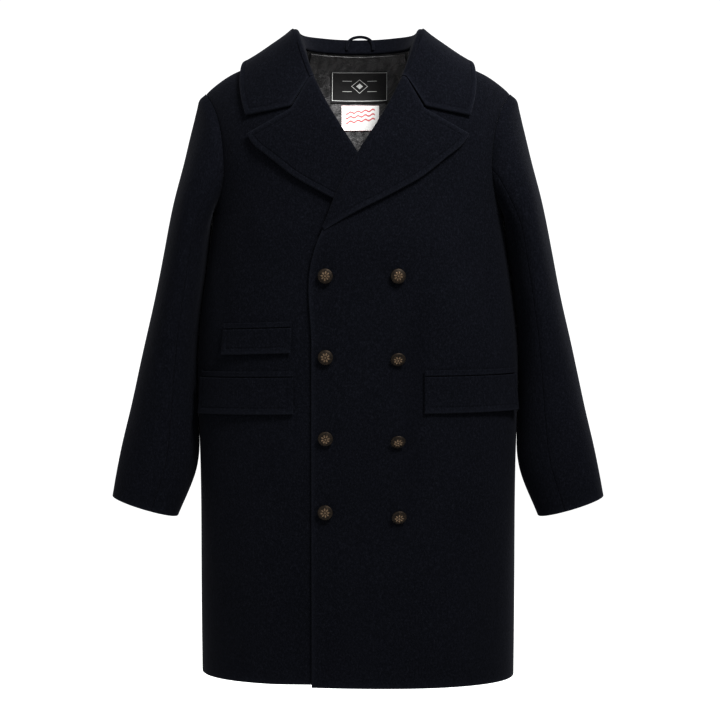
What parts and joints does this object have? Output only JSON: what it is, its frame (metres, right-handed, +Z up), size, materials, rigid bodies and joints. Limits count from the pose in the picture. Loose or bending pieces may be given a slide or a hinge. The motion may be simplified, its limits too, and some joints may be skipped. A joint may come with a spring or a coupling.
{
  "type": "double-breasted long coat",
  "caption": "Knee-length double-breasted wool coat filled out as when worn, left front over right, wide notched collar and lapels, flap pockets, ticket pocket and domed metal buttons",
  "frame": {"origin": "the mount wearer_shoulders: centre of the neck opening, about 18 mm under the shoulder-neck points, where the wearer's neck and shoulders hold the coat up", "axes": "+Z up along the coat, the fronts face -Y, +X is the wearer's left"},
  "size_m": [0.734, 0.269, 0.9659],
  "materials": {
    "wool": "brushed navy melton wool, soft nap",
    "lining": "dark grey satin lining",
    "loop_tape": "narrow sewn tube in navy",
    "label_dark": "woven black label, plain but for a pale border",
    "label_pale": "woven off-white label, plain",
    "button_metal": "antiqued, satin"
  },
  "bodies": {
    "root": {"front_left": "wool", "front_right": "wool", "back": "wool", "sleeve_top_left": "wool", "sleeve_under_left": "wool", "sleeve_top_right": "wool", "sleeve_under_right": "wool", "collar": "wool", "lapel_left": "wool", "lapel_right": "wool", "pocket_flap_left": "wool", "pocket_flap_right": "wool", "ticket_flap": "wool", "pocket_welt_left": "wool", "pocket_welt_right": "wool", "ticket_welt": "wool", "hanger_loop": "loop_tape", "lining_back": "lining", "label_dark": "label_dark", "label_pale": "label_pale", "button_1": "button_metal", "button_2": "button_metal", "button_3": "button_metal", "button_4": "button_metal", "button_5": "button_metal", "button_6": "button_metal", "button_7": "button_metal", "button_8": "button_metal"}
  },
  "joints": []
}
